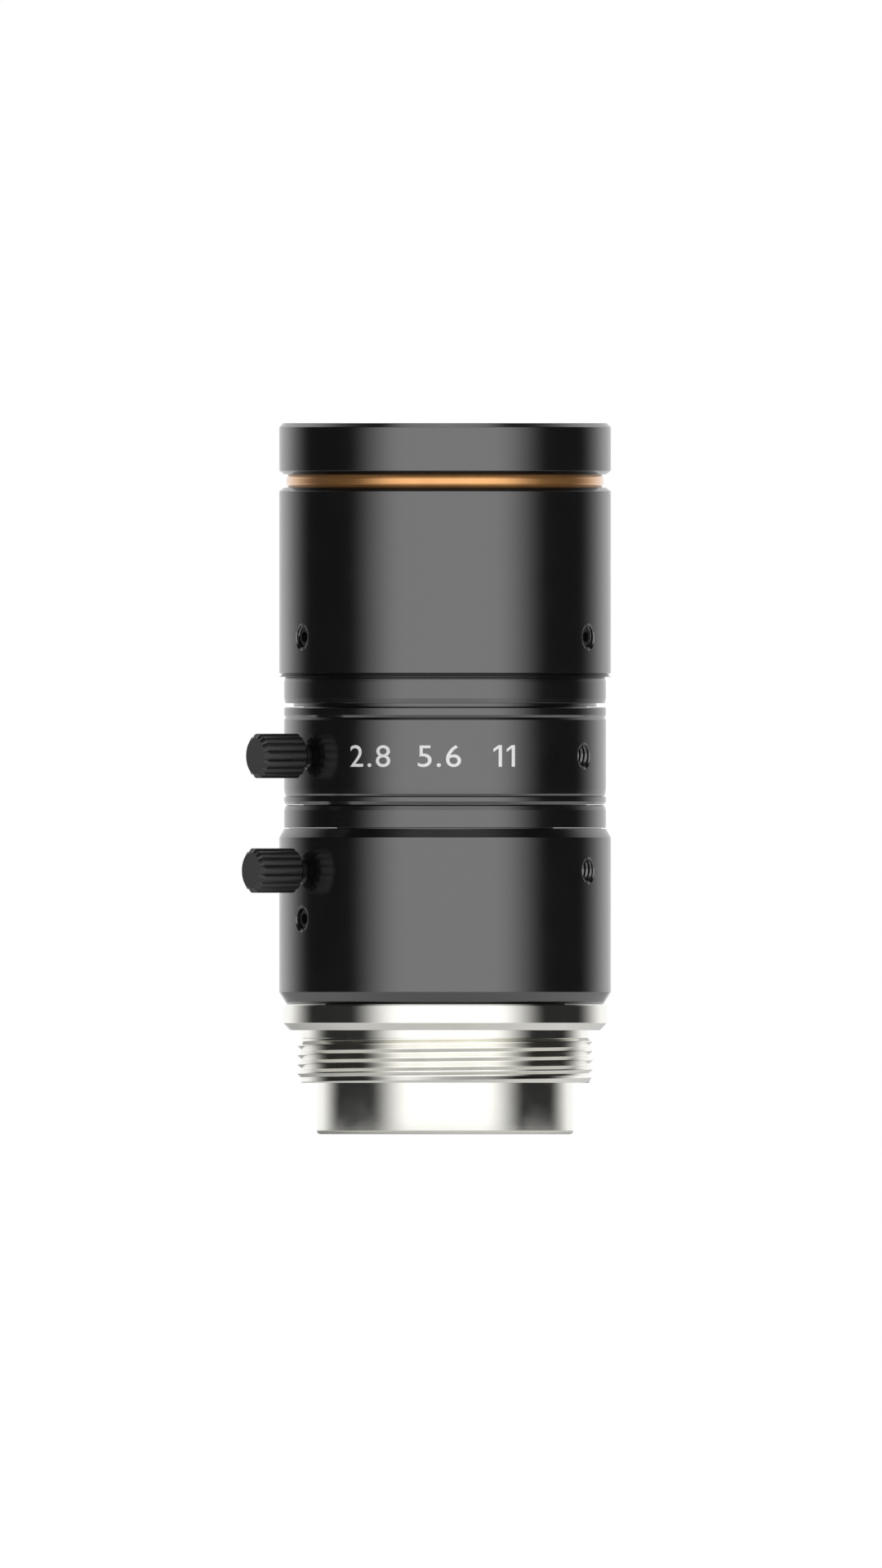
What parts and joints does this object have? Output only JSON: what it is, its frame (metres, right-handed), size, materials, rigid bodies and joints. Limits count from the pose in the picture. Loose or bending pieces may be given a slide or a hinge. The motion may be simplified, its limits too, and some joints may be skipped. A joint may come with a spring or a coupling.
{
  "type": "c-mount machine vision lens",
  "caption": "Machine vision lens with a one inch screw mount, a focus ring, an iris ring, locking thumbscrews and an orange accent ring.",
  "frame": {"origin": "on the optical axis, at the shoulder that seats on the camera", "axes": "+Z along the optical axis towards the front glass; the scale on the iris ring faces -Y; the locking thumbscrews stand at -X, 30 degrees towards -Y"},
  "size_m": [0.0318, 0.0284, 0.061],
  "materials": {
    "nickel": "bright nickel plate on turned brass",
    "black_anodised": "semi-gloss black anodised, turned",
    "inner_black": "matt black anodised",
    "orange_anodised": "satin orange anodised",
    "black_steel": "black oxide on turned steel",
    "blade_steel": "thin blackened sheet",
    "pin_steel": "bright ground steel",
    "soft_tip": "plain brass",
    "coated_glass": "polished with an anti-reflection coating"
  },
  "bodies": {
    "mount": {"c_mount": "nickel", "guide_barrel": "inner_black"},
    "focus_ring": {"focus_ring": "black_anodised", "focus_stop_screw": "black_steel"},
    "focus_lock_tip": {"focus_lock_tip": "soft_tip"},
    "focus_thumbscrew": {"focus_thumbscrew": "black_steel"},
    "lens_unit": {"lens_barrel": "black_anodised", "cam_follower": "pin_steel", "front_barrel": "black_anodised", "accent_ring": "orange_anodised", "front_ring": "black_anodised", "front_lens": "coated_glass", "rear_lens": "coated_glass"},
    "iris_ring": {"iris_ring": "black_anodised", "iris_drive_pin": "pin_steel", "iris_cam_ring": "inner_black"},
    "iris_lock_tip": {"iris_lock_tip": "soft_tip"},
    "iris_thumbscrew": {"iris_thumbscrew": "black_steel"},
    "iris_blade_1": {"iris_blade_1": "blade_steel"},
    "iris_blade_2": {"iris_blade_2": "blade_steel"},
    "iris_blade_3": {"iris_blade_3": "blade_steel"},
    "iris_blade_4": {"iris_blade_4": "blade_steel"},
    "iris_blade_5": {"iris_blade_5": "blade_steel"},
    "iris_blade_6": {"iris_blade_6": "blade_steel"}
  },
  "joints": [
    {"name": "focus_turn", "type": "hinge", "parent": "mount", "child": "focus_ring", "pos_m": [0, 0, 0.00222], "axis": [0, 0, 1], "range_deg": [0, 160]},
    {"name": "focus_travel", "type": "slide", "parent": "mount", "child": "lens_unit", "axis": [0, 0, 1], "range_m": [0, 0.004]},
    {"name": "iris_turn", "type": "hinge", "parent": "lens_unit", "child": "iris_ring", "pos_m": [0, 0, 0.02352], "axis": [0, 0, 1], "range_deg": [0, 48]},
    {"name": "blade_1_pivot", "type": "hinge", "parent": "lens_unit", "child": "iris_blade_1", "pos_m": [-0.0006, 0.00963, 0.02192], "axis": [0, 0, 1], "range_deg": [0, 24]},
    {"name": "blade_2_pivot", "type": "hinge", "parent": "lens_unit", "child": "iris_blade_2", "pos_m": [-0.00864, 0.0043, 0.02192], "axis": [0, 0, 1], "range_deg": [0, 24]},
    {"name": "blade_3_pivot", "type": "hinge", "parent": "lens_unit", "child": "iris_blade_3", "pos_m": [-0.00804, -0.00533, 0.02192], "axis": [0, 0, 1], "range_deg": [0, 24]},
    {"name": "blade_4_pivot", "type": "hinge", "parent": "lens_unit", "child": "iris_blade_4", "pos_m": [0.0006, -0.00963, 0.02192], "axis": [0, 0, 1], "range_deg": [0, 24]},
    {"name": "blade_5_pivot", "type": "hinge", "parent": "lens_unit", "child": "iris_blade_5", "pos_m": [0.00864, -0.0043, 0.02192], "axis": [0, 0, 1], "range_deg": [0, 24]},
    {"name": "blade_6_pivot", "type": "hinge", "parent": "lens_unit", "child": "iris_blade_6", "pos_m": [0.00804, 0.00533, 0.02192], "axis": [0, 0, 1], "range_deg": [0, 24]},
    {"name": "focus_lock_travel", "type": "slide", "parent": "focus_ring", "child": "focus_lock_tip", "axis": [-0.866, -0.5, 0], "range_m": [0, 0.0008]},
    {"name": "focus_lock_turn", "type": "hinge", "parent": "focus_lock_tip", "child": "focus_thumbscrew", "pos_m": [0, 0, 0.01369], "axis": [-0.866, -0.5, 0], "range_deg": [0, 720]},
    {"name": "iris_lock_travel", "type": "slide", "parent": "iris_ring", "child": "iris_lock_tip", "axis": [-0.866, -0.5, 0], "range_m": [0, 0.0008]},
    {"name": "iris_lock_turn", "type": "hinge", "parent": "iris_lock_tip", "child": "iris_thumbscrew", "pos_m": [0, 0, 0.02352], "axis": [-0.866, -0.5, 0], "range_deg": [0, 720]}
  ],
  "couplings": [
    {"joint": "focus_turn", "follows": "focus_travel", "rad_per_m": 698.13},
    {"joint": "blade_1_pivot", "follows": "iris_turn", "ratio": 0.5},
    {"joint": "blade_2_pivot", "follows": "iris_turn", "ratio": 0.5},
    {"joint": "blade_3_pivot", "follows": "iris_turn", "ratio": 0.5},
    {"joint": "blade_4_pivot", "follows": "iris_turn", "ratio": 0.5},
    {"joint": "blade_5_pivot", "follows": "iris_turn", "ratio": 0.5},
    {"joint": "blade_6_pivot", "follows": "iris_turn", "ratio": 0.5},
    {"joint": "focus_lock_turn", "follows": "focus_lock_travel", "rad_per_m": 15708},
    {"joint": "iris_lock_turn", "follows": "iris_lock_travel", "rad_per_m": 15708}
  ]
}
